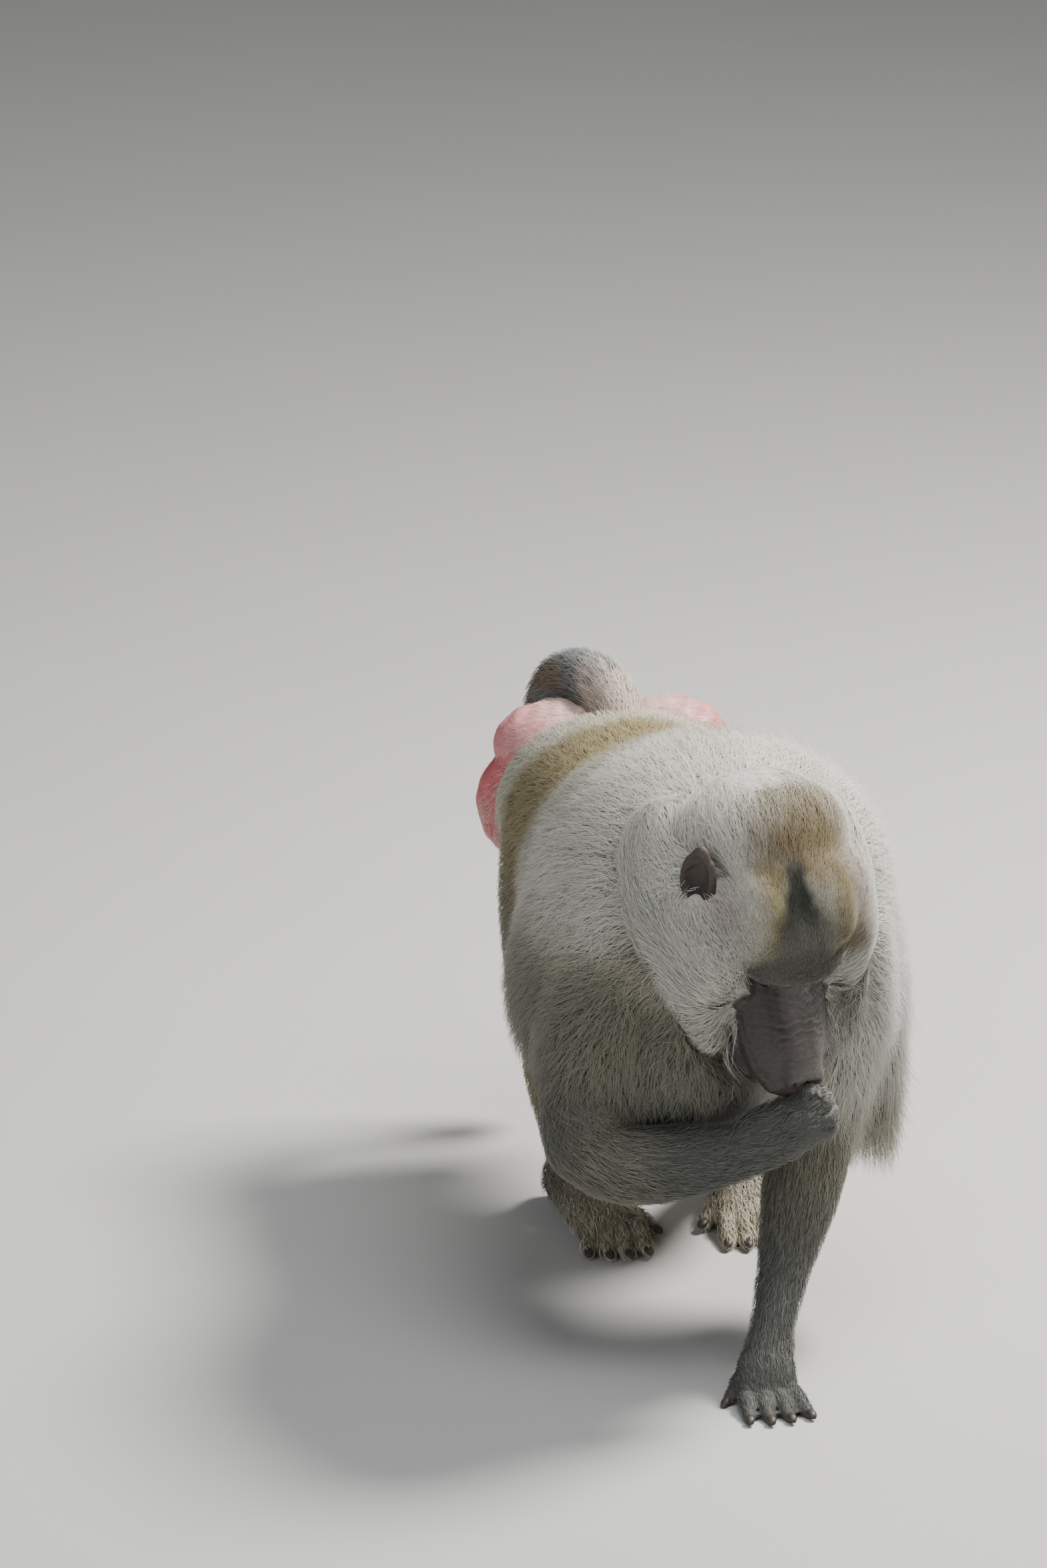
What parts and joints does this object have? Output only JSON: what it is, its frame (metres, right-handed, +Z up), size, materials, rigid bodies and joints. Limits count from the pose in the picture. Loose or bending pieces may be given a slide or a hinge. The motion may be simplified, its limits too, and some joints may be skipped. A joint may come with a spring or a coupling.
{
  "type": "baboon",
  "caption": "Adult male hamadryas baboon, life size, standing on its feet and left hand with the head lowered and the right hand at its mouth.",
  "frame": {"origin": "on the floor, under the middle of the bounding box", "axes": "+Z up, the animal faces -Y, its left side is +X"},
  "size_m": [0.3997, 0.8129, 0.5904],
  "materials": {
    "silver_mane": "long silver-white hair in wavy locks",
    "olive_fur": "short olive-golden agouti fur",
    "head_skin": "dark mauve-brown bare face with a golden crown and pale whiskers",
    "tail_fur": "short blue-grey to brown fur with a tuft",
    "grey_fur": "grey agouti fur",
    "slate_fur": "dark slate fur with a fine speckle",
    "hand_skin": "near-black skin and short dark hair",
    "leg_fur": "short olive-golden fur, darker below",
    "pale_foot_fur": "pale cream hair over dark skin",
    "swelling_skin": "bare pink-red skin",
    "ear_skin": "dark brown bare skin",
    "eye_amber": "wet, brown iris"
  },
  "bodies": {
    "root": {"mane": "silver_mane", "torso": "olive_fur", "head": "head_skin", "tail": "tail_fur", "upper_arm_left": "grey_fur", "upper_arm_right": "grey_fur", "forearm_left": "slate_fur", "forearm_right": "slate_fur", "hand_left": "hand_skin", "hand_right": "hand_skin", "thigh_left": "olive_fur", "thigh_right": "olive_fur", "shank_left": "leg_fur", "shank_right": "leg_fur", "foot_left": "pale_foot_fur", "foot_right": "pale_foot_fur", "swelling_left": "swelling_skin", "swelling_right": "swelling_skin", "ear_left": "ear_skin", "ear_right": "ear_skin", "eye_left": "eye_amber", "eye_right": "eye_amber"}
  },
  "joints": []
}
